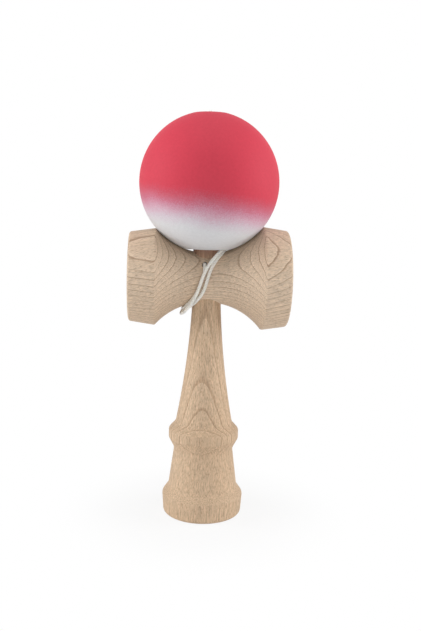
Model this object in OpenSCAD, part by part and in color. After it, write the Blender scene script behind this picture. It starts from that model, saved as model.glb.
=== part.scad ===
// Kendama, standing upright with its ball seated on the spike and its string wound up.
// The ken is the turned handle: spike, tenon, flared grip and base cup in one piece.
// The sarado is the turned crosspiece with the big cup at +X and the small cup at -X.
// The tama is the bored ball. One string ties it to the ken: knotted in the ken, out of
// the sarado's front, round the crossing, up behind the ball and down to a bead inside.
// Millimetres, Z up, origin on the ken's axis at the surface that the base stands on.

/* [Tama] */
// Diameter of the ball
tama_d = 60.4; // [59.4:0.2:60.8]
// Diameter of the flat that the spike hole is cut in
mouth_d = 21; // [20.9:0.1:23]
// Diameter of the spike hole
spike_hole_d = 18.8; // [18.6:0.1:18.9]
// Bevel round the spike hole's edge
mouth_bevel = 1; // [0.8:0.1:1]
// Wood left above the spike hole
crown = 8.4; // [7.6:0.1:9]
// Rounding of the string hole's mouth at the top
string_mouth_round = 4.6; // [3.6:0.1:5]
// How far the string hole's mouth lies below the top of the ball
string_mouth_sink = 0.9; // [0.9:0.1:1.4]

/* [Ken] */
// Height from the base to the tip of the spike
ken_h = 160; // [152:0.5:161]
// Widest diameter of the base
base_d = 36.4; // [34.8:0.1:40]
// Diameter of the base where it meets the table
foot_d = 35.1; // [33.6:0.1:36]
// Height of the base's widest edge
base_h = 9; // [7.6:0.1:9.8]
// Rounding under the base
foot_round = 1.7; // [0.6:0.1:2]
// Rounding of the base's upper edge
base_round = 2.4; // [0.8:0.1:3]
// Diameter of the neck just above the base
neck_low_d = 30.9; // [29:0.1:32]
// Height of the neck's lower end
neck_low_z = 12.9; // [12:0.1:14.5]
// Diameter of the neck just below the grip ring
neck_top_d = 26.3; // [24:0.1:27.5]
// Height of the neck's upper end
neck_top_z = 30.3; // [28:0.1:31.5]
// Diameter of the grip ring
grip_d = 31.3; // [29.6:0.1:34]
// Height of the grip ring's lower edge
grip_low_z = 35; // [34:0.1:35.6]
// Height of the grip ring's upper edge
grip_top_z = 38.8; // [38:0.1:39.6]
// Rounding of the grip ring's edges
grip_round = 1.7; // [0.5:0.1:1.9]
// Diameter of the handle just above the grip ring
handle_low_d = 25.4; // [23:0.1:26.8]
// Height of the handle's lower end
handle_low_z = 42; // [41:0.1:44]
// Radius of the coves that run into the neck and the handle
cove_round = 4; // [1:0.1:5]
// How far the handle's outline dips in at half its height
handle_hollow = 1; // [0:0.1:1.8]
// Diameter of the tenon that the sarado is pressed on
tenon_d = 12.6; // [11.6:0.1:12.8]
// Diameter of the spike just below its rounded tip
spike_tip_d = 9.2; // [8:0.1:11]
// Rounding of the spike's tip
spike_tip_round = 3.6; // [1.5:0.1:3.9]
// Depth of the cup under the base
base_cup_depth = 7; // [5:0.1:9]
// Width of the flat rim that the base stands on
base_rim = 1.2; // [0.8:0.1:3]

/* [Sarado] */
// Height of the sarado's axis above the table
sarado_z = 107.1; // [106:0.1:108]
// Diameter at the middle of the waist
waist_d = 21.4; // [20.6:0.1:22]
// Diameter of the ridge behind the big cup
big_ridge_d = 45.3; // [43:0.1:47]
// Diameter of the big cup's rim
big_rim_d = 42.1; // [40:0.1:42.8]
// Distance from the ken's axis to the end of the big cup
big_end = 35; // [33:0.1:38]
// Depth of the big cup
big_cup_depth = 8; // [6.8:0.1:9]
// Diameter of the ridge behind the small cup
small_ridge_d = 42.3; // [40:0.1:44]
// Diameter of the small cup's rim
small_rim_d = 38.9; // [36:0.1:39.8]
// Distance from the ken's axis to the end of the small cup
small_end = 34.2; // [32:0.1:37]
// Depth of the small cup
small_cup_depth = 7; // [5.8:0.1:8]
// Width of the cups' lips
cup_lip = 2.3; // [1.6:0.1:4]
// Rounding of the ridges
ridge_round = 1; // [0.3:0.1:2]
// Rounding of the rims' outer edges
rim_round = 1.2; // [0.4:0.1:1.5]

/* [String] */
// Diameter of the string
string_d = 1.5; // [1.3:0.05:1.5]
// Diameter of the string's holes through the woods
string_hole_d = 2.4; // [2.1:0.1:2.8]
// Sideways place of the string's hole in the ken and the sarado
string_hole_x = -1.5; // [-1.6:0.1:-1.4]
// Height of the string's hole above the sarado's axis
string_hole_up = 6.2; // [6:0.1:6.4]
// Diameter of the bead inside the ball
bead_d = 7; // [6:0.1:9]
// Height of the bead
bead_h = 5; // [4:0.1:5.4]
// Diameter of the bead's hole
bead_hole_d = 2.2; // [1.9:0.1:2.6]
// Diameter of the knots
knot_d = 3.6; // [3.4:0.1:4]
// Length of the knots
knot_h = 2.4; // [2.2:0.1:2.6]

/* [Fits] */
// Gap between the seated ball and the sarado's waist
seat_gap = 0.15; // [0.15:0.05:0.4]
// Gap round the tenon in the sarado's hole
tenon_gap = 0.1; // [0.03:0.01:0.2]
// Gap between the bead, the wood above it and the knot below it
bead_gap = 0.3; // [0.2:0.1:0.5]
// Gap between a knot and the pocket that holds it
knot_gap = 0.3; // [0.1:0.1:0.5]
// Gap between the wound string and the wood under it
string_gap = 0.35; // [0.3:0.05:0.5]

/* [Hidden] */
$fn = 96;
corner_steps = 8;
waist_steps = 40;
handle_steps = 14;
past = 1;

beech = "#d3b795";
tama_red = "#d0455a";
string_cream = "#ece6d8";
bead_wood = "#b98d5e";

tama_r = tama_d / 2;
waist_arc_r = tama_r + seat_gap;
waist_arc_up = waist_d / 2 + waist_arc_r;
tama_z = sarado_z + waist_arc_up;
tama_top_z = tama_z + tama_r;
mouth_z = tama_z - sqrt(tama_r * tama_r - mouth_d * mouth_d / 4);
ceiling_z = tama_top_z - crown;
bead_z = ceiling_z - bead_gap - bead_h;
bead_knot_z = bead_z - bead_gap - knot_h;

string_r = string_d / 2;
string_hole_z = sarado_z + string_hole_up;
knot_pocket_y = 2.4;
knot_face_y = knot_pocket_y + 0.1;

tenon_low_z = sarado_z - waist_d / 2 - past;
tenon_top_z = sarado_z + waist_d / 2 + past;

// Distance of the waist's surface from the sarado's axis, at x along that axis
function waist_r(x) = waist_arc_up - sqrt(waist_arc_r * waist_arc_r - x * x);
// Place along the axis where the waist reaches a ridge of radius r
function ridge_x(r) = sqrt(waist_arc_r * waist_arc_r - pow(waist_arc_up - r, 2));
// Radius of the ball that hollows a cup of the given mouth radius and depth
function cup_ball_r(mouth_r, depth) = (mouth_r * mouth_r + depth * depth) / (2 * depth);

// Outlines: corners are [x, y, rounding], and each rounding becomes an arc
function unit(v) = v / norm(v);
function flat(c) = [c[0], c[1]];
function arc_of(before, corner, after) =
    let (p = flat(corner),
         a = unit(flat(before) - p),
         b = unit(flat(after) - p),
         half = acos(a * b) / 2,
         centre = p + unit(a + b) * corner[2] / sin(half),
         from = p + a * corner[2] / tan(half) - centre,
         to = p + b * corner[2] / tan(half) - centre,
         start = atan2(from[1], from[0]),
         turn = atan2(from[0] * to[1] - from[1] * to[0], from * to))
    [for (k = [0 : corner_steps])
        let (angle = start + turn * k / corner_steps)
        centre + corner[2] * [cos(angle), sin(angle)]];
function rounded(corners) =
    [for (i = [0 : len(corners) - 1])
        each corners[i][2] == 0
            ? [flat(corners[i])]
            : arc_of(corners[i - 1], corners[i], corners[i + 1])];

// Handle: a taper from the grip ring to the tenon, hollowed like a drawn bow
handle_curve =
    [for (i = [1 : handle_steps])
        let (s = i / handle_steps,
             r = handle_low_d / 2 + (tenon_d - handle_low_d) / 2 * s,
             dip = 4 * handle_hollow * s * (1 - s))
        [r - dip, handle_low_z + (tenon_low_z - handle_low_z) * s, 0]];

ken_outline = rounded(concat(
    [[0, 0, 0],
     [foot_d / 2, 0, foot_round],
     [base_d / 2, base_h, base_round],
     [neck_low_d / 2, neck_low_z, cove_round],
     [neck_top_d / 2, neck_top_z, cove_round],
     [grip_d / 2, grip_low_z, grip_round],
     [grip_d / 2, grip_top_z, grip_round],
     [handle_low_d / 2, handle_low_z, cove_round]],
    handle_curve,
    [[tenon_d / 2, tenon_top_z, 0],
     [spike_tip_d / 2, ken_h, spike_tip_round],
     [0, ken_h, 0]]));

sarado_outline =
    let (small_x = -ridge_x(small_ridge_d / 2), big_x = ridge_x(big_ridge_d / 2))
    rounded(concat(
        [[0, -small_end, 0],
         [small_rim_d / 2, -small_end, rim_round],
         [small_ridge_d / 2, small_x, ridge_round]],
        [for (i = [1 : waist_steps - 1])
            let (x = small_x + (big_x - small_x) * i / waist_steps)
            [waist_r(x), x, 0]],
        [[big_ridge_d / 2, big_x, ridge_round],
         [big_rim_d / 2, big_end, rim_round],
         [0, big_end, 0]]));

// A hole of the string's size along Y, from y0 to y1, at the string's place
module string_hole(d, y0, y1) {
    translate([string_hole_x, y0, string_hole_z])
        rotate([-90, 0, 0])
            cylinder(d = d, h = y1 - y0);
}

// The ball that hollows a cup, with its mouth at the origin and open towards +Z
module cup_hollow(mouth_r, depth) {
    ball_r = cup_ball_r(mouth_r, depth);
    translate([0, 0, ball_r - depth])
        sphere(r = ball_r);
}

module ken() {
    color(beech)
    difference() {
        rotate_extrude()
            polygon(ken_outline);
        rotate([180, 0, 0])
            cup_hollow(foot_d / 2 - foot_round - base_rim, base_cup_depth);
        string_hole(string_hole_d, -tenon_d, knot_pocket_y + past);
        string_hole(knot_d + 2 * knot_gap, knot_pocket_y, tenon_d);
    }
}

module sarado() {
    color(beech)
    difference() {
        translate([0, 0, sarado_z])
            rotate([0, 90, 0])
                difference() {
                    rotate_extrude()
                        polygon(sarado_outline);
                    translate([0, 0, big_end])
                        cup_hollow(big_rim_d / 2 - cup_lip, big_cup_depth);
                    translate([0, 0, -small_end])
                        rotate([180, 0, 0])
                            cup_hollow(small_rim_d / 2 - cup_lip, small_cup_depth);
                }
        translate([0, 0, sarado_z - waist_d])
            cylinder(d = tenon_d + 2 * tenon_gap, h = 2 * waist_d);
        string_hole(string_hole_d, -waist_d, 0);
    }
}

// The string hole in the top of the ball, flared so that the string turns over a round lip
module string_mouth() {
    lip_x = string_hole_d / 2 + string_mouth_round;
    lip_z = tama_top_z - string_mouth_sink - string_mouth_round;
    translate([0, 0, ceiling_z - past])
        cylinder(d = string_hole_d, h = crown + 2 * past);
    translate([0, 0, lip_z])
        rotate_extrude()
            difference() {
                square([lip_x, string_mouth_round + string_mouth_sink + past]);
                translate([lip_x, 0])
                    circle(r = string_mouth_round);
            }
    translate([0, 0, lip_z + string_mouth_round])
        cylinder(r = 2 * lip_x, h = string_mouth_sink + past);
}

module tama() {
    color(tama_red)
    difference() {
        translate([0, 0, tama_z])
            sphere(d = tama_d);
        translate([0, 0, mouth_z - tama_d])
            cylinder(d = tama_d, h = tama_d);
        translate([0, 0, mouth_z - past])
            cylinder(d = spike_hole_d, h = ceiling_z - mouth_z + past);
        translate([0, 0, mouth_z])
            cylinder(d1 = spike_hole_d + 2 * mouth_bevel, d2 = spike_hole_d, h = mouth_bevel);
        string_mouth();
    }
}

// A small turned barrel of the given size, standing on the origin
module barrel(d, h, round, hole_d = 0) {
    rotate_extrude()
        polygon(rounded([
            [hole_d / 2, 0, 0],
            [d / 2, 0, round],
            [d / 2, h, round],
            [hole_d / 2, h, 0]]));
}

bead_round = 0.4 * bead_h;
knot_round = 0.25 * knot_d;

module bead() {
    color(bead_wood)
    translate([0, 0, bead_z])
        barrel(bead_d, bead_h, bead_round, bead_hole_d);
}

module bead_knot() {
    color(string_cream)
    translate([0, 0, bead_knot_z])
        barrel(knot_d, knot_h, knot_round);
}

module ken_knot() {
    color(string_cream)
    translate([string_hole_x, knot_face_y, string_hole_z])
        rotate([-90, 0, 0])
            barrel(knot_d, knot_h, knot_round);
}

// Winding: angle 0 is the top of the waist and 90 degrees its front. The turns pass right
// of the spike above and left of the handle below, as a bundle of three strands in front.
bundle_mid = -1.19;
bundle_swing = 7.35;
bundle_skew = 0.27;
bundle_point = 1.16;
strand_pitch = 4.02;
first_share = 0.45;
turn_back = 1.75;
turn_back_turns = 0.55;
turn_back_share = 1.16;
squeeze = 1.37;
squeeze_power = 8;
layer_step = 2.04;
climb_start = 1.5;
climb_turns = 0.5;
rings_per_turn = 24;
first_ring = 5;
last_ring = 65;

function eased(u) =
    let (v = min(max(u, 0), 1))
    v * v * (3 - 2 * v);
function bundle_x(angle) =
    bundle_mid + bundle_swing * cos(angle)
    + bundle_skew * cos(2 * angle) + bundle_point * cos(3 * angle);
// The strands close up where they squeeze between the spike and the ball
function spread(angle) = 1 - squeeze * pow((1 + cos(angle)) / 2, squeeze_power);
// Place of a strand across the bundle: out to the right, then back over the first strand
function drift(t) =
    strand_pitch * ((min(t, turn_back) - 1) * (t < 1 ? first_share : 1)
                    - turn_back_share * eased((t - turn_back) / turn_back_turns));
// The last turn climbs on to the ones before it
function climb(t) = layer_step * eased((t - climb_start) / climb_turns);
function winding_point(t) =
    let (angle = 360 * t,
         x = bundle_x(angle) + spread(angle) * drift(t),
         r = waist_r(x) + string_r + string_gap + climb(t))
    [x, -r * sin(angle), sarado_z + r * cos(angle)];

// The string's start: from the knot in the ken, out of the sarado and over to the winding
start_route = [
    [-1.5, -8.4, 113.5], [-1.5, -9.5, 113.3], [-1.5, -10.5, 112.6], [-1.6, -11.2, 111.6]];
// The rise behind the sarado to the back of the ball
rise_route = [
    [-2.8, 14.1, 106.5], [-1.4, 15.8, 111], [-0.3, 18.5, 116.3],
    [0, 21.8, 122], [0, 25.2, 127.8], [0, 27.8, 133.6]];
// The way over the back of the ball and down its string hole
over_route = [
    [0, 29.8, 138.7], [0, 31.1, 143.9], [0, 31.3, 149.4], [0, 30.6, 154.8],
    [0, 29, 160], [0, 26.5, 164.9], [0, 23.1, 169.3], [0, 19, 173.1],
    [0, 14.3, 176.1], [0, 9.9, 177.9], [0, 7.2, 178.5], [0, 5.4, 178.5],
    [0, 3.5, 178.1], [0, 1.8, 177], [0, 0.6, 175.2], [0, 0, 173], [0, 0, 170.5]];

winding_route =
    [for (ring = [first_ring : last_ring]) winding_point(ring / rings_per_turn)];
string_route = concat(
    [[string_hole_x, knot_face_y, string_hole_z]],
    start_route,
    winding_route,
    rise_route,
    over_route,
    [[0, 0, bead_knot_z + knot_h]]);
string_points = len(string_route);
winding_end = len(start_route) + len(winding_route);
rise_end = winding_end + len(rise_route);

// Direction of the string at each point, and a side vector carried along without twist
string_along =
    [for (i = [0 : string_points - 1])
        i == 0 ? unit(string_route[1] - string_route[0])
        : i == string_points - 1 ? unit(string_route[i] - string_route[i - 1])
        : unit(unit(string_route[i + 1] - string_route[i])
               + unit(string_route[i] - string_route[i - 1]))];
function carried(side, along) = unit(side - (side * along) * along);
string_side =
    [for (i = 0, side = carried([1, 0, 0], string_along[0]);
          i < string_points;
          i = i + 1, side = i < string_points ? carried(side, string_along[i]) : side)
        side];

function string_ring(i, sides) =
    let (u = string_side[i], v = cross(string_along[i], u))
    [for (k = [0 : sides - 1])
        let (angle = 360 * k / sides)
        string_route[i] + string_r * (cos(angle) * u + sin(angle) * v)];

// A closed tube of triangles from one point of the string's route to another
module string_tube(from, to, sides) {
    rings = to - from;
    points = [for (i = [from : to]) each string_ring(i, sides)];
    walls = [for (i = [0 : rings - 1], k = [0 : sides - 1])
        let (a = i * sides + k, b = i * sides + (k + 1) % sides)
        each [[a, a + sides, b], [b, a + sides, b + sides]]];
    first_cap = [for (k = [1 : sides - 2]) [0, k, k + 1]];
    last = rings * sides;
    last_cap = [for (k = [1 : sides - 2]) [last, last + k + 1, last + k]];
    polyhedron(points, concat(first_cap, walls, last_cap));
}

wound_sides = 6;
free_sides = 8;

module string_winding() {
    color(string_cream)
    string_tube(0, winding_end, wound_sides);
}

module string_riser() {
    color(string_cream)
    string_tube(winding_end, rise_end, free_sides);
}

module string_over_ball() {
    color(string_cream)
    string_tube(rise_end, string_points - 1, free_sides);
}

// Least gap of the wound string to itself, on points a hundredth of a turn and less apart
gap_steps = 120;
gap_points = concat(
    start_route,
    [for (k = [0 : gap_steps * (last_ring - first_ring) / rings_per_turn])
        winding_point(first_ring / rings_per_turn + k / gap_steps)]);
strand_gap =
    min([for (i = [0 : len(gap_points) - 1], j = [i + gap_steps / 2 : 1 : len(gap_points) - 1])
        norm(gap_points[i] - gap_points[j])]) - string_d;
string_length =
    [for (i = 1, sum = norm(string_route[1] - string_route[0]);
          i < string_points;
          i = i + 1,
          sum = sum + (i < string_points ? norm(string_route[i] - string_route[i - 1]) : 0))
        sum];
union() {
    echo(least_gap_between_strands = strand_gap);
    echo(length_of_string = string_length[string_points - 2]);
}

ken();
sarado();
tama();
bead();
bead_knot();
ken_knot();
string_winding();
string_riser();
string_over_ball();
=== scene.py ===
# %% [markdown]
# A kendama, dressed for its portrait
#
# The toy has three turned woods: the ken (handle and spike), the sarado (crosspiece with
# two cups) and the tama (painted ball). One string ties them. The packed solids are the
# fixed frame: they give every place and size, and the pieces made here stand in for them
# with finer edges, real grain, sprayed paint and twisted cord.

# %% Load the frame
import math

import bpy
from mathutils import Matrix, Vector


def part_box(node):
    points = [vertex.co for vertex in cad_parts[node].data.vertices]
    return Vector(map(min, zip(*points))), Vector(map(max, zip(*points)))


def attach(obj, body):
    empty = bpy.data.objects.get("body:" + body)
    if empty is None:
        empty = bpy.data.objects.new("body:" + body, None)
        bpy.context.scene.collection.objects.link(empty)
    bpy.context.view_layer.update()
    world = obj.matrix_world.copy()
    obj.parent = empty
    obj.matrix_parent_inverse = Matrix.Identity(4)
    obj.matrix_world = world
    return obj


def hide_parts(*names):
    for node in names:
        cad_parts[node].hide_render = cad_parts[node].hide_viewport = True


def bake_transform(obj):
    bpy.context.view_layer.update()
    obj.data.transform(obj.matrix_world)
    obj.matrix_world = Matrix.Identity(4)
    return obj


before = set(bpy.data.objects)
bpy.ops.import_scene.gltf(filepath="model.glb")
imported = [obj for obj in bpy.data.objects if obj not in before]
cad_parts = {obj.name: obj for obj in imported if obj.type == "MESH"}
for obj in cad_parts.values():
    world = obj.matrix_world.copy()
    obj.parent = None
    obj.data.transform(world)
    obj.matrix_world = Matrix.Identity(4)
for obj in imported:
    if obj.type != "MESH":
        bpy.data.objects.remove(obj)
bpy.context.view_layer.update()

MM = 0.001
scene = bpy.context.scene

# %% [markdown]
# Camera
#
# The picture was taken from the front, a little above the ball's middle, looking slightly
# down and turned a few degrees. The camera's place was worked out from the outlines of the
# ball, the rims and the base. Its sensor is 36 mm on the picture's long side, so a focal
# length in pixels turns into millimetres by one division.

# %% Camera
CAMERA_PLACE = Vector((-0.0160, -0.3396, 0.1412))
CAMERA_PITCH_DEG = 8.52
CAMERA_YAW_DEG = 3.02
CAMERA_ROLL_DEG = 1.41
FOCAL_PX = 775.75
PICTURE_LONG_PX = 631
SENSOR_MM = 36
NEAREST_SEEN = 0.01

bpy.ops.object.select_all(action="DESELECT")
bpy.ops.object.camera_add(location=CAMERA_PLACE)
camera = bpy.context.object
camera.name = "portrait_camera"
camera.data.sensor_width = SENSOR_MM
camera.data.lens = FOCAL_PX / PICTURE_LONG_PX * SENSOR_MM
camera.data.clip_start = NEAREST_SEEN
camera_turn = (
    Matrix.Rotation(math.radians(-CAMERA_YAW_DEG), 4, "Z")
    @ Matrix.Rotation(math.radians(90 - CAMERA_PITCH_DEG), 4, "X")
    @ Matrix.Rotation(math.radians(CAMERA_ROLL_DEG), 4, "Z")
)
camera.matrix_world = Matrix.Translation(CAMERA_PLACE) @ camera_turn
scene.camera = camera
print("lens in mm:", round(camera.data.lens, 2))

# %% [markdown]
# The winding
#
# The string starts at a knot inside the ken, leaves the sarado's front through a small
# hole, goes round the crossing two and a half times, rises behind the ball, runs over its
# back and drops through the hole at its top to a bead. The turns follow a formula, because
# they lie on the sarado's waist: a slanted loop, whose strands spread in front, draw
# together at the top, and come back over the first strand in a second layer.

# %% The winding
STRING_D = 0.0015
STRING_GAP = 0.00035
SARADO_Z = 0.1071
WAIST_ARC_R = 0.03035
WAIST_ARC_UP = 0.04105
BUNDLE_MIDDLE, BUNDLE_SWING = -0.00119, 0.00735
BUNDLE_SKEW, BUNDLE_POINT = 0.00027, 0.00116
STRAND_PITCH, FIRST_SHARE = 0.00402, 0.45
TURN_BACK, TURN_BACK_TURNS, TURN_BACK_SHARE = 1.75, 0.55, 1.16
SQUEEZE, SQUEEZE_POWER = 1.37, 8
LAYER_STEP = 0.00204
CLIMB_START, CLIMB_TURNS = 1.5, 0.5
FIRST_TURN, LAST_TURN = 5 / 24, 65 / 24
SAMPLES_PER_TURN = 48


def waist_radius(x):
    """Distance of the waist's surface from the sarado's axis, x along that axis."""
    return WAIST_ARC_UP - math.sqrt(WAIST_ARC_R**2 - x * x)


def eased(share):
    """A share from 0 to 1 that starts and stops softly."""
    share = min(max(share, 0), 1)
    return share * share * (3 - 2 * share)


def winding_point(turns):
    """A point of the winding: whole turns are at the top, a quarter later is in front."""
    angle = math.tau * turns
    bundle = (BUNDLE_MIDDLE + BUNDLE_SWING * math.cos(angle)
              + BUNDLE_SKEW * math.cos(2 * angle) + BUNDLE_POINT * math.cos(3 * angle))
    spread = 1 - SQUEEZE * ((1 + math.cos(angle)) / 2) ** SQUEEZE_POWER
    drift = (min(turns, TURN_BACK) - 1) * (FIRST_SHARE if turns < 1 else 1)
    drift -= TURN_BACK_SHARE * eased((turns - TURN_BACK) / TURN_BACK_TURNS)
    x = bundle + spread * STRAND_PITCH * drift
    layer = LAYER_STEP * eased((turns - CLIMB_START) / CLIMB_TURNS)
    r = waist_radius(x) + STRING_D / 2 + STRING_GAP + layer
    return Vector((x, -r * math.sin(angle), SARADO_Z + r * math.cos(angle)))


turn_count = round((LAST_TURN - FIRST_TURN) * SAMPLES_PER_TURN)
turns = [winding_point(FIRST_TURN + k / SAMPLES_PER_TURN) for k in range(turn_count + 1)]
print("points on the winding:", len(turns))

# %% [markdown]
# The string's whole route
#
# The free stretches are listed points, as in the part's source. A smooth spline
# goes through them and the winding alike, and is cut into even steps, so that the twist of
# the cord keeps one pitch from end to end. The route is then parted where the winding
# ends, because the rest moves with the ball.

# %% The string's whole route
START_ROUTE = [
    (-0.0015, 0.0025, 0.1133), (-0.0015, -0.0084, 0.1135), (-0.0015, -0.0095, 0.1133),
    (-0.0015, -0.0105, 0.1126), (-0.0016, -0.0112, 0.1116),
]
RISE_ROUTE = [
    (-0.0028, 0.0141, 0.1065), (-0.0014, 0.0158, 0.1110), (-0.0003, 0.0185, 0.1163),
    (0, 0.0218, 0.1220), (0, 0.0252, 0.1278), (0, 0.0278, 0.1336),
]
OVER_ROUTE = [
    (0, 0.0298, 0.1387), (0, 0.0311, 0.1439), (0, 0.0313, 0.1494), (0, 0.0306, 0.1548),
    (0, 0.0290, 0.1600), (0, 0.0265, 0.1649), (0, 0.0231, 0.1693), (0, 0.0190, 0.1731),
    (0, 0.0143, 0.1761), (0, 0.0099, 0.1779), (0, 0.0072, 0.1785), (0, 0.0054, 0.1785),
    (0, 0.0035, 0.1781), (0, 0.0018, 0.1770), (0, 0.0006, 0.1752), (0, 0, 0.1730),
    (0, 0, 0.1705), (0, 0, 0.16435),
]
CORD_STEP = 0.0004
SPLINE_STEPS = 16


def smooth_route(points, step):
    """A spline through the points, resampled to even steps along its length."""
    p = [Vector(q) for q in points]
    p = [2 * p[0] - p[1], *p, 2 * p[-1] - p[-2]]
    fine = []
    for a, b, c, d in zip(p, p[1:], p[2:], p[3:]):
        for k in range(SPLINE_STEPS):
            t = k / SPLINE_STEPS
            fine.append(0.5 * (2 * b + (c - a) * t + (2 * a - 5 * b + 4 * c - d) * t * t
                               + (3 * b - a - 3 * c + d) * t**3))
    fine.append(p[-2])
    lengths = [0.0]
    for a, b in zip(fine, fine[1:]):
        lengths.append(lengths[-1] + (b - a).length)
    count = round(lengths[-1] / step)
    route, i = [], 0
    for k in range(count + 1):
        want = lengths[-1] * k / count
        while i < len(fine) - 2 and lengths[i + 1] < want:
            i += 1
        share = (want - lengths[i]) / (lengths[i + 1] - lengths[i])
        route.append(fine[i].lerp(fine[i + 1], min(max(share, 0), 1)))
    return route, lengths[-1]


whole_route, string_length = smooth_route(
    [*START_ROUTE, *turns, *RISE_ROUTE, *OVER_ROUTE], CORD_STEP)
winding_end = min(range(len(whole_route)),
                  key=lambda i: (whole_route[i] - turns[-1]).length)
wound_route = whole_route[: winding_end + 1]
free_route = whole_route[winding_end:]
print("string's length in mm:", round(string_length / MM, 1))

# %% [markdown]
# Plies of a cord
#
# A twisted cord has plies that wind round each other, so its outline is lobed and the
# lobes turn along its length. A plain bevelled curve would be a smooth wire. Here rings of
# points with three lobes are carried along the route without spinning, and then turned by
# the lay. A UV map follows the plies, for the fibres of the finish.

# %% Plies of a cord
PLIES = 3
LAY_LENGTH = 0.0042
GROOVE_DEPTH = 0.12
GROOVE_SHARPNESS = 3.0
CORD_SIDES = 18


def cord_rings(route, diameter, start_length):
    """Points of lobed rings along a route, turned by the length walked so far."""
    count = len(route)
    along = [(route[min(i + 1, count - 1)] - route[max(i - 1, 0)]).normalized()
             for i in range(count)]
    side = along[0].orthogonal().normalized()
    verts, walked = [], start_length
    for i, place in enumerate(route):
        side = (side - side.dot(along[i]) * along[i]).normalized()
        across = along[i].cross(side)
        walked += (place - route[i - 1]).length if i else 0
        lay = math.tau * walked / LAY_LENGTH
        for k in range(CORD_SIDES):
            angle = math.tau * k / CORD_SIDES
            groove = ((1 - math.cos(PLIES * angle)) / 2) ** GROOVE_SHARPNESS
            r = diameter / 2 * (1 - GROOVE_DEPTH * groove)
            turned_by = angle + lay
            verts.append(place + r * (math.cos(turned_by) * side + math.sin(turned_by) * across))
    return verts


def ply_map(mesh):
    """A UV map along and round the cord, whose seam runs along one ply."""
    uv = mesh.uv_layers.new(name="plies")
    for polygon in mesh.polygons:
        for corner, vertex in zip(polygon.loop_indices, polygon.vertices):
            ring, k = divmod(vertex, CORD_SIDES)
            wraps = k == 0 and polygon.index % CORD_SIDES == CORD_SIDES - 1
            round_share = (CORD_SIDES if wraps else k) / CORD_SIDES
            uv.data[corner].uv = (ring * CORD_STEP / LAY_LENGTH, round_share)


print("plies:", PLIES, "and one lay in mm:", round(LAY_LENGTH / MM, 1))

# %% [markdown]
# The string's cord
#
# Rings of points become a tube when each is joined to the next by faces, and a face at each
# end closes it. On the real toy the string is one cord. Here it is two pieces, which meet
# where the winding ends, because they move differently: the wound one rides with the ken,
# and the free one is not attached to any body.

# %% The string's cord
def twisted_cord(name, route, diameter, start_length=0.0):
    """A mesh of one twisted cord along a route of even steps, closed at both ends."""
    count = len(route)
    verts = cord_rings(route, diameter, start_length)
    faces = []
    for i in range(count - 1):
        for k in range(CORD_SIDES):
            a, b = i * CORD_SIDES + k, i * CORD_SIDES + (k + 1) % CORD_SIDES
            faces.append((a, b, b + CORD_SIDES, a + CORD_SIDES))
    faces.append(tuple(reversed(range(CORD_SIDES))))
    faces.append(tuple(range((count - 1) * CORD_SIDES, count * CORD_SIDES)))
    mesh = bpy.data.meshes.new(name)
    mesh.from_pydata(verts, [], faces)
    ply_map(mesh)
    mesh.shade_smooth()
    cord = bpy.data.objects.new(name, mesh)
    scene.collection.objects.link(cord)
    return cord


string_wound = twisted_cord("string_wound", wound_route, STRING_D)
string_free = twisted_cord("string_free", free_route, STRING_D, winding_end * CORD_STEP)
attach(string_wound, "ken")
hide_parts("string_winding")
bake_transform(string_free)
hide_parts("string_riser", "string_over_ball")
print("cord faces:", len(string_wound.data.polygons) + len(string_free.data.polygons))

# %% [markdown]
# An outline for the lathe
#
# All three woods and the bead are turned, so each is made as a turner makes it: from half
# an outline. Corners get their rounding while the outline is drawn, which keeps every edge
# as soft as sanding leaves it. A bevel on the finished mesh could do this too, but not
# with a rounding of its own at each corner.

# %% An outline for the lathe
CORNER_STEPS = 8
CUP_STEPS = 24


def rounded(corners):
    """Outline points from corners (radius, along, rounding), each rounding as an arc."""
    points = []
    for i, (r, a, rounding) in enumerate(corners):
        here = Vector((r, a))
        if not rounding:
            points.append(here)
            continue
        back = (Vector(corners[i - 1][:2]) - here).normalized()
        ahead = (Vector(corners[i + 1][:2]) - here).normalized()
        half = back.angle(ahead) / 2
        centre = here + (back + ahead).normalized() * rounding / math.sin(half)
        start = here + back * rounding / math.tan(half) - centre
        end = here + ahead * rounding / math.tan(half) - centre
        sweep = math.atan2(start.x * end.y - start.y * end.x, start.dot(end))
        for k in range(CORNER_STEPS + 1):
            angle = math.atan2(start.y, start.x) + sweep * k / CORNER_STEPS
            points.append(centre + rounding * Vector((math.cos(angle), math.sin(angle))))
    return points


def cup_arc(mouth_r, depth, mouth_at, outward):
    """Corners of a hollow cup's section, from its middle to its mouth."""
    ball_r = (mouth_r**2 + depth**2) / (2 * depth)
    widest = math.asin(mouth_r / ball_r)
    corners = []
    for k in range(CUP_STEPS):
        angle = widest * k / CUP_STEPS
        along = mouth_at + outward * (ball_r - depth - ball_r * math.cos(angle))
        corners.append((ball_r * math.sin(angle), along, 0))
    return corners


print("steps round a corner:", CORNER_STEPS, "and across a cup:", CUP_STEPS)

# %% [markdown]
# Turning
#
# The outline is drawn as an edge chain, point after point, and the spin tool sweeps it
# round. Where the ends meet, doubled points are merged and the faces are turned outwards.

# %% Turning
LATHE_STEPS = 192
MERGE_REACH = 1e-6


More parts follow.
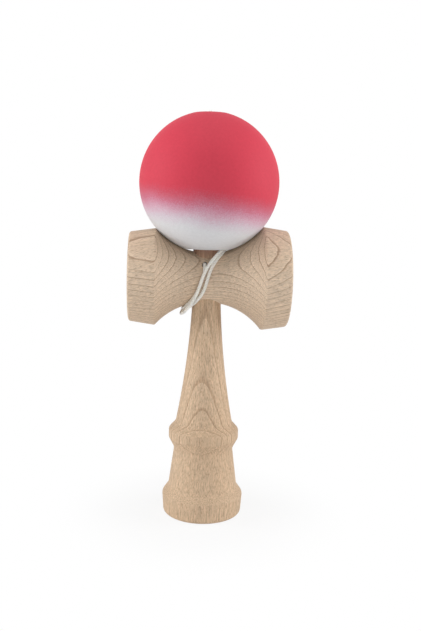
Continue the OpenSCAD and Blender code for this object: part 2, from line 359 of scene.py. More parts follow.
def turned(name, outline, axis="Z", centre=(0, 0, 0), steps=LATHE_STEPS):
    """Draws an outline of (radius, along) points and spins it round the axis."""
    def place(point):
        r, a = point
        return Vector((r, 0, a) if axis == "Z" else (a, 0, r)) + Vector(centre)

    bpy.ops.object.select_all(action="DESELECT")
    bpy.ops.mesh.primitive_plane_add(size=MM, location=(0, 0, 0))
    piece = bpy.context.object
    piece.name = piece.data.name = name
    bpy.ops.object.mode_set(mode="EDIT")
    bpy.ops.mesh.merge(type="CENTER")
    bpy.ops.transform.translate(value=place(outline[0]))
    for before, after in zip(outline, outline[1:]):
        step = place(after) - place(before)
        bpy.ops.mesh.extrude_region_move(TRANSFORM_OT_translate={"value": step})
    bpy.ops.mesh.select_all(action="SELECT")
    spin_axis = (0, 0, 1) if axis == "Z" else (1, 0, 0)
    bpy.ops.mesh.spin(steps=steps, angle=math.tau, center=centre, axis=spin_axis)
    bpy.ops.mesh.select_all(action="SELECT")
    bpy.ops.mesh.remove_doubles(threshold=MERGE_REACH)
    bpy.ops.mesh.normals_make_consistent(inside=False)
    bpy.ops.object.mode_set(mode="OBJECT")
    return piece


print("steps round the lathe:", LATHE_STEPS)

# %% [markdown]
# Drilling and finishing
#
# A hole that crosses the axis can't be turned, so it is drilled afterwards, by a Boolean
# with a cylinder as the bit. The Boolean is applied, which leaves a plain mesh. Shading is
# then smooth across the lathe's small facets, and stays crisp where two faces meet at a
# sharper angle, as at the mouth of a hole.

# %% Drilling and finishing
BIT_SIDES = 96
CRISP_EDGE_DEG = 32


def drill(piece, diameter, start, end):
    """Cuts a round hole from one point to another through a piece."""
    start, end = Vector(start), Vector(end)
    bpy.ops.object.select_all(action="DESELECT")
    bpy.ops.mesh.primitive_cylinder_add(
        vertices=BIT_SIDES, radius=diameter / 2, depth=(end - start).length,
        location=(start + end) / 2,
        rotation=(end - start).to_track_quat("Z", "Y").to_euler())
    bit = bpy.context.object
    bpy.context.view_layer.objects.active = piece
    cut = piece.modifiers.new("drill", "BOOLEAN")
    cut.operation = "DIFFERENCE"
    cut.solver = "EXACT"
    cut.object = bit
    bpy.ops.object.modifier_apply(modifier=cut.name)
    bpy.data.objects.remove(bit)


def finish_turning(piece, body, node):
    """Smooth shading up to crisp edges, and the piece's place in the frame."""
    bpy.ops.object.select_all(action="DESELECT")
    piece.select_set(True)
    bpy.context.view_layer.objects.active = piece
    bpy.ops.object.shade_smooth_by_angle(angle=math.radians(CRISP_EDGE_DEG))
    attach(piece, body)
    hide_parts(node)
    low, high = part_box(node)
    size = Vector(high) - Vector(low)
    print(piece.name, "faces:", len(piece.data.polygons),
          "size in mm:", [round(v / MM, 1) for v in piece.dimensions],
          "solid:", [round(v / MM, 1) for v in size])


print("edges stay crisp from", CRISP_EDGE_DEG, "degrees")

# %% [markdown]
# The ken
#
# The handle is one piece of beech: base with its cup, neck, grip ring, a long hollow taper,
# the tenon and the spike. Its whole outline, cup included, is one line from the cup's
# middle round to the spike's tip, so that one turn of the lathe makes all of it.

# %% The ken
KEN_H = 160 * MM
BASE_CUP_R, BASE_CUP_DEPTH, BASE_LIP_ROUND = 14.65 * MM, 7 * MM, 0.3 * MM
FOOT_R, FOOT_ROUND = 17.55 * MM, 1.7 * MM
BASE_R, BASE_Z, BASE_ROUND = 18.2 * MM, 9 * MM, 2.4 * MM
COVE_ROUND = 4 * MM
NECK_LOW_R, NECK_LOW_Z = 15.45 * MM, 12.9 * MM
NECK_TOP_R, NECK_TOP_Z = 13.15 * MM, 30.3 * MM
GRIP_R, GRIP_ROUND = 15.65 * MM, 1.7 * MM
GRIP_LOW_Z, GRIP_TOP_Z = 35 * MM, 38.8 * MM
HANDLE_LOW_R, HANDLE_LOW_Z = 12.7 * MM, 42 * MM
HANDLE_HOLLOW = 1 * MM
HANDLE_STEPS = 28
TENON_R = 6.3 * MM
TENON_LOW_Z, TENON_TOP_Z = 95.4 * MM, 118.8 * MM
SPIKE_TIP_R, SPIKE_TIP_ROUND = 4.6 * MM, 3.6 * MM

handle = []
for k in range(1, HANDLE_STEPS + 1):
    share = k / HANDLE_STEPS
    hollow = 4 * HANDLE_HOLLOW * share * (1 - share)
    r = HANDLE_LOW_R + (TENON_R - HANDLE_LOW_R) * share - hollow
    handle.append((r, HANDLE_LOW_Z + (TENON_LOW_Z - HANDLE_LOW_Z) * share, 0))

ken_outline = rounded([
    *cup_arc(BASE_CUP_R, BASE_CUP_DEPTH, 0, -1),
    (BASE_CUP_R, 0, BASE_LIP_ROUND),
    (FOOT_R, 0, FOOT_ROUND),
    (BASE_R, BASE_Z, BASE_ROUND),
    (NECK_LOW_R, NECK_LOW_Z, COVE_ROUND),
    (NECK_TOP_R, NECK_TOP_Z, COVE_ROUND),
    (GRIP_R, GRIP_LOW_Z, GRIP_ROUND),
    (GRIP_R, GRIP_TOP_Z, GRIP_ROUND),
    (HANDLE_LOW_R, HANDLE_LOW_Z, COVE_ROUND),
    *handle,
    (TENON_R, TENON_TOP_Z, 0),
    (SPIKE_TIP_R, KEN_H, SPIKE_TIP_ROUND),
    (0, KEN_H, 0),
])
ken = turned("ken_turned", ken_outline)
print("points on the ken's outline:", len(ken_outline))

# %% [markdown]
# The ken's holes
#
# The string enters the ken through a small hole at the crossing and is knotted inside, so
# a wider pocket behind the hole has room for the knot. Both are level and lie a little to
# one side of the ken's axis.

# %% The ken's holes
STRING_HOLE_D = 2.4 * MM
STRING_HOLE_X, STRING_HOLE_Z = -1.5 * MM, 113.3 * MM
STRING_HOLE_END_Y = 4 * MM
KNOT_POCKET_D, KNOT_POCKET_Y = 4.2 * MM, 2.4 * MM
PAST_KEN = 12 * MM


def drill_level(piece, diameter, start_y, end_y):
    """A level hole from front to back, at the string's place."""
    drill(piece, diameter,
          (STRING_HOLE_X, start_y, STRING_HOLE_Z), (STRING_HOLE_X, end_y, STRING_HOLE_Z))


drill_level(ken, STRING_HOLE_D, -PAST_KEN, STRING_HOLE_END_Y)
drill_level(ken, KNOT_POCKET_D, KNOT_POCKET_Y, PAST_KEN)
finish_turning(ken, "ken", "ken")

# %% [markdown]
# The sarado
#
# The crosspiece is turned round its own level axis. Its waist is an arc that follows the
# ball, so that the ball can sit in it, and both ends are hollowed into cups. The arc drawn
# here lies about a tenth of a millimetre closer to the ball than the solid's does, so that
# the seam between them is the thin dark line that a seated ball shows.

# %% The sarado
BIG_RIDGE_R, BIG_RIM_R, BIG_END = 22.65 * MM, 21.05 * MM, 35 * MM
SMALL_RIDGE_R, SMALL_RIM_R, SMALL_END = 21.15 * MM, 19.45 * MM, 34.2 * MM
BIG_CUP_R, BIG_CUP_DEPTH = 18.75 * MM, 8 * MM
SMALL_CUP_R, SMALL_CUP_DEPTH = 17.15 * MM, 7 * MM
RIDGE_ROUND, RIM_ROUND, LIP_ROUND = 1 * MM, 1.2 * MM, 0.5 * MM
SEAT_R = 30.23 * MM
WAIST_STEPS = 64


def ridge_place(r):
    """Distance from the ken's axis at which the waist's arc reaches a ridge."""
    return math.sqrt(SEAT_R**2 - (WAIST_ARC_UP - r) ** 2)


small_ridge_x, big_ridge_x = -ridge_place(SMALL_RIDGE_R), ridge_place(BIG_RIDGE_R)
waist = []
for k in range(1, WAIST_STEPS):
    x = small_ridge_x + (big_ridge_x - small_ridge_x) * k / WAIST_STEPS
    waist.append((WAIST_ARC_UP - math.sqrt(SEAT_R**2 - x * x), x, 0))

sarado_outline = rounded([
    *cup_arc(SMALL_CUP_R, SMALL_CUP_DEPTH, -SMALL_END, -1),
    (SMALL_CUP_R, -SMALL_END, LIP_ROUND),
    (SMALL_RIM_R, -SMALL_END, RIM_ROUND),
    (SMALL_RIDGE_R, small_ridge_x, RIDGE_ROUND),
    *waist,
    (BIG_RIDGE_R, big_ridge_x, RIDGE_ROUND),
    (BIG_RIM_R, BIG_END, RIM_ROUND),
    (BIG_CUP_R, BIG_END, LIP_ROUND),
    *reversed(cup_arc(BIG_CUP_R, BIG_CUP_DEPTH, BIG_END, 1)),
])
sarado = turned("sarado_turned", sarado_outline, "X", (0, 0, SARADO_Z))
print("points on the sarado's outline:", len(sarado_outline))

# %% [markdown]
# The sarado's holes
#
# The hole for the ken's tenon goes through the crosspiece from top to bottom, across the
# axis that it was turned on. The string's hole opens in front and lines up with the ken's.

# %% The sarado's holes
TENON_HOLE_D = 12.8 * MM
PAST_SARADO = 20 * MM

drill(sarado, TENON_HOLE_D, (0, 0, SARADO_Z - PAST_SARADO), (0, 0, SARADO_Z + PAST_SARADO))
drill_level(sarado, STRING_HOLE_D, -PAST_SARADO, 0)
finish_turning(sarado, "ken", "sarado")

# %% [markdown]
# The tama
#
# The ball is bored from below for the spike, and drilled from the top for the string, with
# a flared mouth so that the string isn't cut by an edge. Its section is a closed loop:
# from the middle of the bore's ceiling out and down the bore, over the mouth's bevel,
# round the ball, into the flare and down the string's hole.

# %% The tama
TAMA_R, TAMA_Z = 30.2 * MM, 148.15 * MM
MOUTH_R, SPIKE_HOLE_R, MOUTH_BEVEL = 10.5 * MM, 9.4 * MM, 1 * MM
CROWN = 8.4 * MM
CEILING_START_R, CEILING_ROUND = 5 * MM, 1 * MM
BEVEL_INNER_ROUND, BEVEL_OUTER_ROUND = 0.2 * MM, 0.05 * MM
FLARE_ROUND, FLARE_SINK, FLARE_END_ROUND = 4.6 * MM, 0.9 * MM, 0.3 * MM
BALL_STEPS = 96
FLARE_STEPS = 20

tama_top = TAMA_Z + TAMA_R
ceiling = tama_top - CROWN
mouth_z = TAMA_Z - math.sqrt(TAMA_R**2 - MOUTH_R**2)
flare_z = tama_top - FLARE_SINK
flare_centre_r, flare_centre_z = STRING_HOLE_D / 2 + FLARE_ROUND, flare_z - FLARE_ROUND

ceiling_start = (CEILING_START_R, ceiling, 0)
tama_corners = [
    ceiling_start,
    (SPIKE_HOLE_R, ceiling, CEILING_ROUND),
    (SPIKE_HOLE_R, mouth_z + MOUTH_BEVEL, BEVEL_INNER_ROUND),
    (SPIKE_HOLE_R + MOUTH_BEVEL, mouth_z, BEVEL_OUTER_ROUND),
]
low_angle = math.asin((mouth_z - TAMA_Z) / TAMA_R)
high_angle = math.asin((flare_z - TAMA_Z) / TAMA_R)
for k in range(BALL_STEPS + 1):
    angle = low_angle + (high_angle - low_angle) * k / BALL_STEPS
    tama_corners.append((TAMA_R * math.cos(angle), TAMA_Z + TAMA_R * math.sin(angle), 0))
for k in range(FLARE_STEPS + 1):
    angle = math.radians(90 + 90 * k / FLARE_STEPS)
    tama_corners.append((flare_centre_r + FLARE_ROUND * math.cos(angle),
                         flare_centre_z + FLARE_ROUND * math.sin(angle), 0))
tama_corners += [(STRING_HOLE_D / 2, ceiling, FLARE_END_ROUND), ceiling_start]
tama = turned("tama_painted", rounded(tama_corners))
finish_turning(tama, "tama", "tama")

# %% [markdown]
# The bead
#
# A small wooden bead keeps the string in the ball. It is turned like the woods: its section
# is a closed loop that starts and ends halfway up its hole.

# %% The bead
BEAD_R, BEAD_H, BEAD_Z, BEAD_HOLE_R = 3.5 * MM, 5 * MM, 164.65 * MM, 1.1 * MM
BEAD_ROUND, BEAD_HOLE_ROUND = 2 * MM, 0.2 * MM
BEAD_LATHE_STEPS = 64

hole_middle = (BEAD_HOLE_R, BEAD_Z + BEAD_H / 2, 0)
bead_outline = rounded([
    hole_middle,
    (BEAD_HOLE_R, BEAD_Z, BEAD_HOLE_ROUND),
    (BEAD_R, BEAD_Z, BEAD_ROUND),
    (BEAD_R, BEAD_Z + BEAD_H, BEAD_ROUND),
    (BEAD_HOLE_R, BEAD_Z + BEAD_H, BEAD_HOLE_ROUND),
    hole_middle,
])
bead = turned("bead_turned", bead_outline, steps=BEAD_LATHE_STEPS)
finish_turning(bead, "string_end", "bead")

# %% [markdown]
# The knots
#
# A knot keeps the bead on the string, and a second one holds the other end inside the ken.
# A knot is a cord tied in itself, so each is a short loop of the same twisted cord, drawn
# as a tight trefoil, not a ball.

# %% The knots
KNOT_CORD_D = 1.1 * MM
KNOT_REACH = 0.41 * MM
KNOT_RISE = 1.5
KNOT_POINTS = 48
BEAD_KNOT_PLACE = (0, 0, 163.15 * MM)
KEN_KNOT_PLACE = (STRING_HOLE_X, 3.7 * MM, STRING_HOLE_Z)


def tied_knot(name, centre, turn):
    """A tight trefoil of cord round a centre, its axis turned from Z."""
    points = []
    for k in range(KNOT_POINTS + 1):
        t = math.tau * k / KNOT_POINTS
        loop = Vector((math.sin(t) + 2 * math.sin(2 * t), math.cos(t) - 2 * math.cos(2 * t),
                       -KNOT_RISE * math.sin(3 * t)))
        points.append(Vector(centre) + turn @ (KNOT_REACH * loop))
    route, _ = smooth_route(points, CORD_STEP / 2)
    return twisted_cord(name, route, KNOT_CORD_D)


upright = Matrix.Identity(3)
lying = Matrix.Rotation(math.radians(90), 3, "X")
bead_knot = tied_knot("knot_under_bead", BEAD_KNOT_PLACE, upright)
ken_knot = tied_knot("knot_in_ken", KEN_KNOT_PLACE, lying)
for knot, body, node in ((bead_knot, "string_end", "bead_knot"), (ken_knot, "ken", "ken_knot")):
    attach(knot, body)
    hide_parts(node)
    print(knot.name, "size in mm:", [round(v / MM, 2) for v in knot.dimensions])

# %% [markdown]
# The string's two stretches
#
# The string is limp and hangs free in play. Here both stretches are plain meshes along
# their routes at rest.

# %% [markdown]
# Colours
#
# A picture's colours are stored as a screen shows them, but a shader reckons with amounts
# of light. Colours are written here as a screen shows them, because those can be compared
# with a picture, and one function turns them into the shader's linear ones.

# %% Colours
def linear(red, green, blue):
    """A display colour, 0 to 255 a channel, as the linear colour that a shader takes."""
    def channel(v):
        v /= 255
        return v / 12.92 if v <= 0.04045 else ((v + 0.055) / 1.055) ** 2.4
    return (channel(red), channel(green), channel(blue), 1)


print("middle grey on a screen is this much light:", round(linear(128, 128, 128)[0], 3))

# %% [markdown]
# A bench for nodes
#
# A finish is a tree of shader nodes. Adding a node, setting its sockets and linking them
# takes several lines each time by hand, so a small helper does it in one call: a value that
# is a socket is linked, and any other value is set. It serves materials and the world alike.

# %% A bench for nodes
class Bench:
    """The node tree of a material or a world, with short calls to add and join nodes."""

    def __init__(self, owner):
        owner.use_nodes = True
        self.owner = owner
        self.tree = owner.node_tree
        self.shader = self.tree.nodes.get("Principled BSDF")

    def add(self, kind, inputs=None, **settings):
        made = self.tree.nodes.new("ShaderNode" + kind)
        for key, value in settings.items():
            setattr(made, key, value)
        for key, value in (inputs or {}).items():
            self.set(made.inputs[key], value)
        return made

    def set(self, socket, value):
        if isinstance(value, bpy.types.NodeSocket):
            self.tree.links.new(value, socket)
        else:
            socket.default_value = value

    def finish(self, **inputs):
        for key, value in inputs.items():
            self.set(self.shader.inputs[key.replace("_", " ")], value)

    def math(self, operation, *operands, clamp=False):
        made = self.add("Math", dict(enumerate(operands)), operation=operation, use_clamp=clamp)
        return made.outputs[0]

    def vector(self, operation, *operands):
        made = self.add("VectorMath", dict(enumerate(operands)), operation=operation)
        return made.outputs["Value" if operation == "LENGTH" else "Vector"]

    def mapped(self, vector, **settings):
        return self.add("Mapping", {"Vector": vector, **settings}).outputs["Vector"]

    def part(self, vector, axis):
        return self.add("SeparateXYZ", {"Vector": vector}).outputs[axis]

    def ramp(self, factor, stops):
        made = self.add("ValToRGB", {"Fac": factor})
        elements = made.color_ramp.elements
        while len(elements) < len(stops):
            elements.new(0.5)
        for element, (position, colour) in zip(elements, stops):
            element.position = position
            element.color = colour if isinstance(colour, tuple) else (colour, colour, colour, 1)
        return made.outputs["Color"]

    def soft_step(self, value, start, end, low, high):
        made = self.add("MapRange", {"Value": value, "From Min": start, "From Max": end,
                                     "To Min": low, "To Max": high},
                        interpolation_type="SMOOTHSTEP")
        return made.outputs["Result"]

    def mix(self, factor, a, b, blend="MIX"):
        made = self.add("Mix", data_type="RGBA", blend_type=blend)
        self.set(made.inputs["Factor"], factor)
        self.set(made.inputs[6], a)
        self.set(made.inputs[7], b)
        return made.outputs[2]

    def noise(self, vector, scale, detail=2.0, roughness=0.5):
        made = self.add("TexNoise", {"Vector": vector, "Scale": scale, "Detail": detail,
                                     "Roughness": roughness})
        return made.outputs["Fac"]

    def bump(self, height, strength, distance):
        made = self.add("Bump", {"Height": height, "Strength": strength, "Distance": distance})
        return made.outputs["Normal"]


print("calls on the bench:", [call for call in vars(Bench) if not call.startswith("_")])

# %% [markdown]
# Rings of a tree
#
# Turned beech shows its growth rings as arches, ovals and straight lines, all from one cause:
# the surface cuts through nearly flat layers. So the grain is a solid pattern, with rings
# round a pith line that lies outside the piece, and the figure follows from the shape.
# The distance from the pith, counted in rings from a middle one, is the year: its whole
# part is the year itself, and the rest says how far into that year's growth a point lies.
# Two liberties bring the figure to the piece at hand. With wide below 1, the years beyond
# the first to either side of the middle are wider. With a bow, the layers curve along X, as
# in a log that wasn't quite straight.

# %% Rings of a tree
RING_SWAY = 0.0014
SWAY_SCALE, SWAY_DETAIL, SWAY_ROUGHNESS = 90.0, 3.0, 0.55
BOW_REACH = 0.0227


def swayed(bench, grain, slow):
    """The grain's place, moved a little aside so that no ring is a perfect circle."""
    wander = bench.add("TexNoise", {"Vector": slow, "Scale": SWAY_SCALE, "Detail": SWAY_DETAIL,
                                    "Roughness": SWAY_ROUGHNESS}).outputs["Color"]
    sway = bench.vector("SUBTRACT", wander, (0.5, 0.5, 0.5))
    return bench.vector("MULTIPLY_ADD", sway, (RING_SWAY, RING_SWAY, 0), grain)


def tree_years(bench, place, moved, ring, middle, wide, bow):
    """Years at each point: ring is one year's growth, and middle the distance of year 0."""
    distance = bench.vector("LENGTH", bench.vector("MULTIPLY", moved, (1, 1, 0)))
    level = bench.math("ABSOLUTE", bench.part(place, "X"))
    inner = bench.math("MINIMUM", level, BOW_REACH)
    distance = bench.math("MULTIPLY_ADD", bench.math("MULTIPLY", inner, inner), bow, distance)
    years = bench.math("DIVIDE", bench.math("SUBTRACT", distance, middle), ring)
    size = bench.math("ABSOLUTE", years)
    outer = bench.math("MAXIMUM", bench.math("SUBTRACT", size, 1.0), 0.0)
    inner_years = bench.math("MINIMUM", size, 1.0)
    stretched = bench.math("ADD", inner_years, bench.math("MULTIPLY", outer, wide))
    return bench.math("MULTIPLY", stretched, bench.math("SIGN", years))


print("rings wander by up to", RING_SWAY / MM / 2, "mm")

# %% [markdown]
# Strength of the lines
#
# Each year ends in a thin dark line of late wood, and the next starts with a paler band.
# No two lines are equally strong, so each year gets a strength of its own, and slow patches
# vary it along the grain. A band of painted shade, a darker and redder brown, can also be
# laid round one height, for the shade and reflected red light that fall there.

# %% Strength of the lines
YEAR_SCALE, YEAR_LEAST, YEAR_VARIES = 3.7, 0.05, 0.8
PATCH_LEAST, PATCH_VARIES = 0.5, 0.8
# Painted shade: a darker, redder brown for the shade and red ball light at the spike's foot.
PAINTED_SHADE_COLOUR, PAINTED_SHADE_SHARE = (152, 115, 95), 0.9


def line_strength(bench, years, patch, figure):
    """How strongly each year's lines show: figure scales them all."""
    year = bench.add("TexNoise", {"W": bench.math("FLOOR", years), "Scale": YEAR_SCALE},
                     noise_dimensions="1D").outputs["Fac"]
    of_year = bench.math("MULTIPLY_ADD", year, YEAR_VARIES * figure, YEAR_LEAST * figure)
    of_patch = bench.math("MULTIPLY_ADD", patch, PATCH_VARIES, PATCH_LEAST)
    return bench.math("MULTIPLY", of_year, of_patch)


def painted_shade_band(bench, body, height, centre, reach):
    """Painted shade round one height: a darker, redder brown for the shade under the ball's mouth.
    """
    away = bench.math("ABSOLUTE", bench.math("SUBTRACT", height, centre))
    shade_amount = bench.soft_step(away, reach, 0.0, 0.0, PAINTED_SHADE_SHARE)
    return bench.mix(shade_amount, body, linear(*PAINTED_SHADE_COLOUR))


print("a year's lines have strengths from", YEAR_LEAST, "to", YEAR_LEAST + YEAR_VARIES)

# %% [markdown]
# Beech
#
# Short dark flecks along the grain are what tells beech from other pale woods, and fine
# fibres run between them. Both are noise, stretched along the grain by different amounts.
# They also make the shallow grooves that a sanded surface keeps. All of it is worked out
# from a point's place in the piece, so the grain runs through the wood and needs no seam,
# as a flat picture of grain would.

# %% Beech
SLOW_ALONG, FLECK_ALONG, FIBRE_ALONG = 0.35, 0.25, 0.04
PATCH_SCALE = 45.0
LATE_LINE = [(0.0, 0.0), (0.5, 0.05), (0.82, 0.12), (0.93, 1.0), (0.985, 0.8), (1.0, 0.0)]
EARLY_BAND = [(0.0, 1.0), (0.1, 0.6), (0.22, 0.0)]
EARLY_SHARE, EARLY_LIGHTER = 0.6, 12
CALM_LEAST = 0.15
FLECK_SCALE, FLECK_DETAIL, FLECK_SHARE = 3000.0, 1.0, 0.42
FLECKS = [(0.0, 0.0), (0.55, 0.0), (0.68, 1.0)]
PLAIN_FIBRES = (1900.0, 3.0, 0.8, 1.1)
FIBRE_LIGHT = 1.01
WOOD_ROUGHNESS, ROUGHNESS_VARIES, WOOD_GLOSS = 0.54, 0.16, 0.25
FLECK_GROOVE, GROOVE_STRENGTH, GROOVE_HEIGHT = 0.6, 0.3, 0.00012


def beech(name, colours, grain_turn=(0, 0, 0), pith=(0, 0, 0), ring=0.002, middle=0.0,
          wide=1.0, bow=0.0, figure=1.0, calm=None, painted_shade=None, fibres=PLAIN_FIBRES):
    """Solid beech. grain_turn brings the grain to Z, and pith is then the rings' middle.

    colours are pale wood, deeper patches and dark lines. calm gives the heights between
    which the lines come up to strength, the band of painted shade its height and reach, and
    fibres their scale, detail, roughness and contrast.
    """
    pale, deep, dark = colours
    bench = Bench(bpy.data.materials.new(name))
    place = bench.add("TexCoord").outputs["Object"]
    height = bench.part(place, "Z")
    grain = bench.mapped(place, Rotation=grain_turn, Location=[-v for v in pith])
    slow = bench.mapped(grain, Scale=(1, 1, SLOW_ALONG))
    moved = swayed(bench, grain, slow)
    years = tree_years(bench, place, moved, ring, middle, wide, bow)

    within = bench.math("FRACT", years)
    patch = bench.noise(slow, PATCH_SCALE)
    strength = line_strength(bench, years, patch, figure)
    if calm:
        strength = bench.math("MULTIPLY", strength,
                              bench.soft_step(height, *calm, CALM_LEAST, 1.0))
    late = bench.math("MULTIPLY", bench.ramp(within, LATE_LINE), strength, clamp=True)
    early = bench.math("MULTIPLY", bench.ramp(within, EARLY_BAND),
                       bench.math("MULTIPLY", strength, EARLY_SHARE))

    scale, detail, roughness, contrast = fibres
    fibre = bench.noise(bench.mapped(moved, Scale=(1, 1, FIBRE_ALONG)), scale, detail, roughness)
    specks = bench.noise(bench.mapped(moved, Scale=(1, 1, FLECK_ALONG)), FLECK_SCALE, FLECK_DETAIL)
    fleck = bench.ramp(specks, FLECKS)

    body = bench.mix(patch, linear(*pale), linear(*deep))
    body = bench.mix(early, body, linear(*(v + EARLY_LIGHTER for v in pale)))
    body = bench.mix(late, body, linear(*dark))
    body = bench.mix(bench.math("MULTIPLY", fleck, FLECK_SHARE), body, linear(*dark))
    # A band of painted shade, where one is asked for.
    if painted_shade:
        body = painted_shade_band(bench, body, height, *painted_shade)
    light = bench.math("MULTIPLY_ADD", fibre, contrast, FIBRE_LIGHT - contrast / 2)
    grooves = bench.math("SUBTRACT", fibre, bench.math("MULTIPLY", fleck, FLECK_GROOVE))
    bench.finish(
        Base_Color=bench.mix(1.0, body, light, "MULTIPLY"),
        Roughness=bench.math("MULTIPLY_ADD", fibre, ROUGHNESS_VARIES, WOOD_ROUGHNESS),
        Specular_IOR_Level=WOOD_GLOSS,
        Normal=bench.bump(grooves, GROOVE_STRENGTH, GROOVE_HEIGHT))
    return bench.owner


print("the darkest part of a late line is at", max(LATE_LINE, key=lambda s: s[1])[0], "of a year")

# %% [markdown]
# Beech on the two woods
#
# The ken is cut with its grain upright, so its front shows arches that climb the handle and
# an oval on the grip ring. The sarado lies with its grain along its axis, tilted a few
# degrees, and shows ovals on its drums. The foot of the spike gets a band of painted shade,
# a darker and redder brown, for the shade under the ball's mouth and the red light the ball
# throws there.

# %% Beech on the two woods
KEN_COLOURS = ((212, 187, 159), (204, 175, 144), (142, 105, 75))
SARADO_COLOURS = ((221, 200, 177), (213, 189, 162), (147, 113, 87))
KEN_FIBRES = (2700.0, 2.0, 0.6, 1.2)
SARADO_GRAIN_TILT_DEG = -81.5

# The ken's band of painted shade lies at the spike's foot, under the ball's mouth.
ken.data.materials.append(beech(
    "beech_ken", KEN_COLOURS, pith=(0.010, 0.066, 0), ring=0.00195, middle=0.0782, wide=0.68,
    calm=(0.028, 0.036), painted_shade=(0.119, 0.0065), fibres=KEN_FIBRES))
sarado.data.materials.append(beech(
    "beech_sarado", SARADO_COLOURS, grain_turn=(0, math.radians(SARADO_GRAIN_TILT_DEG), 0),
    pith=(-0.0659, 0.0456, 0), ring=0.00161, middle=0.0624, bow=-6.0, figure=1.4))
print("beech on:", ken.name, sarado.name)

# %% [markdown]
# Painted ball
#
# The ball has a soft matte paint, sprayed red from above over a white ground, so the edge
# between them is a fade of fine specks. The fade is worked out from the height on the
# ball, along a line that leans a little, and noise breaks it into specks.

# %% Painted ball
FADE_LEAN_DEG = -6.5
FADE_LOW, FADE_HIGH = -0.0198, -0.0034
FADE_COLOURS = [
    (0.0, linear(222, 223, 226)), (0.193, linear(217, 205, 214)), (0.395, linear(211, 166, 184)),
    (0.615, linear(203, 116, 136)), (0.84, linear(206, 82, 100)), (1.0, linear(212, 68, 85)),
]
SPECK_SCALE, SPECK_ROUGHNESS, SPECK_REACH = 2400.0, 0.7, 0.007
DRIFT_SCALE, DRIFT_REACH = 70.0, 0.003
MOTTLE_SCALE, MOTTLE_DETAIL, MOTTLE_ROUGHNESS = 900.0, 3.0, 0.6
MOTTLE_LEAST, MOTTLE_VARIES = 0.92, 0.16
PAINT_ROUGHNESS, PAINT_GLOSS = 0.62, 0.15
PAINT_BUMP, PAINT_BUMP_HEIGHT = 0.2, 0.0001


def sprayed_paint(name):
    """Matte red paint that fades to white below, in specks."""
    bench = Bench(bpy.data.materials.new(name))
    place = bench.add("TexCoord").outputs["Object"]
    centred = bench.vector("SUBTRACT", place, (0, 0, TAMA_Z))
    leaning = bench.mapped(centred, Rotation=(0, math.radians(FADE_LEAN_DEG), 0))
    height = bench.part(leaning, "Z")
    specks = bench.noise(centred, SPECK_SCALE, roughness=SPECK_ROUGHNESS)
    drift = bench.noise(centred, DRIFT_SCALE)
    for pattern, reach in ((specks, SPECK_REACH), (drift, DRIFT_REACH)):
        moved = bench.math("MULTIPLY", bench.math("SUBTRACT", pattern, 0.5), reach)
        height = bench.math("ADD", height, moved)
    share = bench.add("MapRange", {"Value": height, "From Min": FADE_LOW, "From Max": FADE_HIGH})
    colour = bench.ramp(share.outputs["Result"], FADE_COLOURS)
    mottle = bench.noise(centred, MOTTLE_SCALE, MOTTLE_DETAIL, MOTTLE_ROUGHNESS)
    light = bench.math("MULTIPLY_ADD", mottle, MOTTLE_VARIES, MOTTLE_LEAST)
    bench.finish(
        Base_Color=bench.mix(1.0, colour, light, "MULTIPLY"),
        Roughness=PAINT_ROUGHNESS, Specular_IOR_Level=PAINT_GLOSS,
        Normal=bench.bump(mottle, PAINT_BUMP, PAINT_BUMP_HEIGHT))
    return bench.owner


tama.data.materials.append(sprayed_paint("sprayed_red"))
print("paint on:", tama.name)

# %% [markdown]
# Cord and bead
#
# The cord is cream cotton-like yarn. Its UV map runs along the plies, so fine fibres are
# noise stretched along one direction of it, and the grooves between the plies are found
# from the other and get a painted shade. Light goes a little way into yarn, which keeps its
# shaded side soft. The bead is a small piece of darker wood.

# %% Cord and bead
FIBRES_PER_LAY, FIBRES_ROUND = 1.5, 40
YARN_DETAIL, YARN_NOISE_ROUGHNESS = 3.0, 0.6
YARN_DEEP, YARN_PALE = linear(248, 243, 230), linear(255, 253, 246)
# Painted shade for the grooves between the plies.
GROOVE_SHADE_COLOUR, GROOVE_SHADE_SHARE = linear(214, 203, 183), 0.3
YARN_ROUGHNESS = 0.85
YARN_SHEEN, YARN_SHEEN_ROUGHNESS = 1.0, 0.6
YARN_INNER_LIGHT, YARN_INNER_RADIUS, YARN_INNER_SCALE = 0.6, (1.0, 0.95, 0.85), 0.0008
YARN_BUMP, YARN_BUMP_HEIGHT = 0.2, 0.00002
BEAD_COLOURS = ((178, 134, 88), (160, 116, 72), (112, 76, 44))


def cord_yarn(name):
    """Cream yarn: fibres along the plies, with painted shade in the grooves between them."""
    bench = Bench(bpy.data.materials.new(name))
    uv = bench.add("UVMap", uv_map="plies").outputs["UV"]
    stretched = bench.mapped(uv, Scale=(FIBRES_PER_LAY, FIBRES_ROUND, 1))
    fibre = bench.noise(stretched, 1.0, YARN_DETAIL, YARN_NOISE_ROUGHNESS)
    ply_angle = bench.math("MULTIPLY", bench.part(uv, "Y"), math.tau * PLIES)
    between = bench.math("MULTIPLY_ADD", bench.math("COSINE", ply_angle), -0.5, 0.5)
    groove = bench.math("POWER", between, GROOVE_SHARPNESS)
    colour = bench.mix(fibre, YARN_DEEP, YARN_PALE)
    # Painted shade darkens the grooves between the plies.
    colour = bench.mix(bench.math("MULTIPLY", groove, GROOVE_SHADE_SHARE), colour, GROOVE_SHADE_COLOUR)
    bench.finish(
        Base_Color=colour, Roughness=YARN_ROUGHNESS,
        Sheen_Weight=YARN_SHEEN, Sheen_Roughness=YARN_SHEEN_ROUGHNESS,
        Subsurface_Weight=YARN_INNER_LIGHT, Subsurface_Radius=YARN_INNER_RADIUS,
        Subsurface_Scale=YARN_INNER_SCALE,
        Normal=bench.bump(fibre, YARN_BUMP, YARN_BUMP_HEIGHT))
    return bench.owner


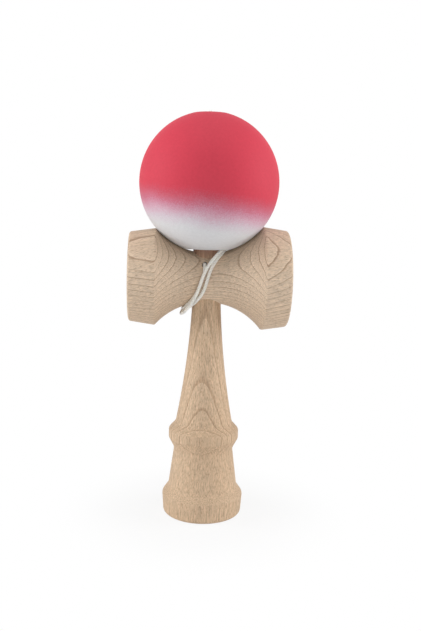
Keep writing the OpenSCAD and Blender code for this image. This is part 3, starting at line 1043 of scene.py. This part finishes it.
yarn = cord_yarn("cream_yarn")
for cord in (string_wound, string_free, bead_knot, ken_knot):
    cord.data.materials.append(yarn)
bead.data.materials.append(
    beech("bead_grain", BEAD_COLOURS, pith=(0.004, 0.012, 0), ring=0.0009))
print("yarn on the string and its knots, wood on:", bead.name)

# %% [markdown]
# Floor and room
#
# The picture has a clean white surround. A large floor keeps a faint shadow under the base,
# and shows white to the camera further out. The room shows white too, to the camera and in
# reflections, and adds only a little light of its own, because the lamps do the lighting.

# %% Floor and room
FLOOR_SIZE = 6
FLOOR_GREY, FLOOR_ROUGHNESS = 0.85, 0.9
FLOOR_SHADOW_SHARE = 0.12
FLOOR_FADE_START, FLOOR_FADE_END = 0.02, 0.07
ROOM_LIGHT = 0.04
WHITE = (1, 1, 1, 1)


def seen_rays(bench):
    """1 for rays from the camera, from gloss and through glass, and 0 for the others."""
    rays = bench.add("LightPath").outputs
    indirect = bench.math("MAXIMUM", rays["Is Glossy Ray"], rays["Is Transmission Ray"])
    return bench.math("MAXIMUM", rays["Is Camera Ray"], indirect)


bpy.ops.object.select_all(action="DESELECT")
bpy.ops.mesh.primitive_plane_add(size=FLOOR_SIZE, location=(0, 0, 0))
floor = bpy.context.object
floor.name = "floor"

bench = Bench(bpy.data.materials.new("white_floor"))
bench.finish(Base_Color=(FLOOR_GREY, FLOOR_GREY, FLOOR_GREY, 1), Roughness=FLOOR_ROUGHNESS)
away = bench.vector("LENGTH", bench.add("TexCoord").outputs["Object"])
share = bench.soft_step(away, FLOOR_FADE_START, FLOOR_FADE_END, 1 - FLOOR_SHADOW_SHARE, 1.0)
glow = bench.add("Emission", {"Color": WHITE, "Strength": 1.0})
shown = bench.add("MixShader", {0: bench.math("MULTIPLY", seen_rays(bench), share),
                                1: bench.shader.outputs[0], 2: glow.outputs[0]})
bench.set(bench.tree.nodes["Material Output"].inputs["Surface"], shown.outputs[0])
floor.data.materials.append(bench.owner)

bench = Bench(bpy.data.worlds.new("white_room"))
scene.world = bench.owner
strength = bench.add("MapRange", {"Value": seen_rays(bench), "To Min": ROOM_LIGHT, "To Max": 1.0})
room = bench.tree.nodes["Background"]
bench.set(room.inputs["Strength"], strength.outputs["Result"])
bench.set(room.inputs["Color"], WHITE)
print("floor and room made, room light:", ROOM_LIGHT)

# %% [markdown]
# Lamps
#
# The light is soft, and stronger from both sides than from the front. Two tall lamps stand
# at the sides, a wide one hangs above, and a weaker one in front fills the shade. All are
# large for the toy, so no shadow has a hard edge.

# %% Lamps
LAMPS = [
    ("lamp_left", (-0.84, -0.03, 0.24), (0.5, 0.9), 6.5),
    ("lamp_right", (0.84, -0.03, 0.24), (0.5, 0.9), 6.3),
    ("lamp_above", (0.0, -0.15, 0.95), (0.8, 0.8), 4.1),
    ("lamp_front", (0.0, -1.2, 0.14), (0.8, 0.4), 4.7),
]
AIM = Vector((0, 0, 0.10))
for name, spot, (width, height), power in LAMPS:
    bpy.ops.object.select_all(action="DESELECT")
    bpy.ops.object.light_add(type="AREA", location=spot)
    lamp = bpy.context.object
    lamp.name = name
    lamp.data.shape = "RECTANGLE"
    lamp.data.size, lamp.data.size_y = width, height
    lamp.data.energy = power
    lamp.rotation_euler = (AIM - Vector(spot)).to_track_quat("-Z", "Y").to_euler()
scene.view_settings.view_transform = "Standard"
print("lamps:", [lamp[0] for lamp in LAMPS])
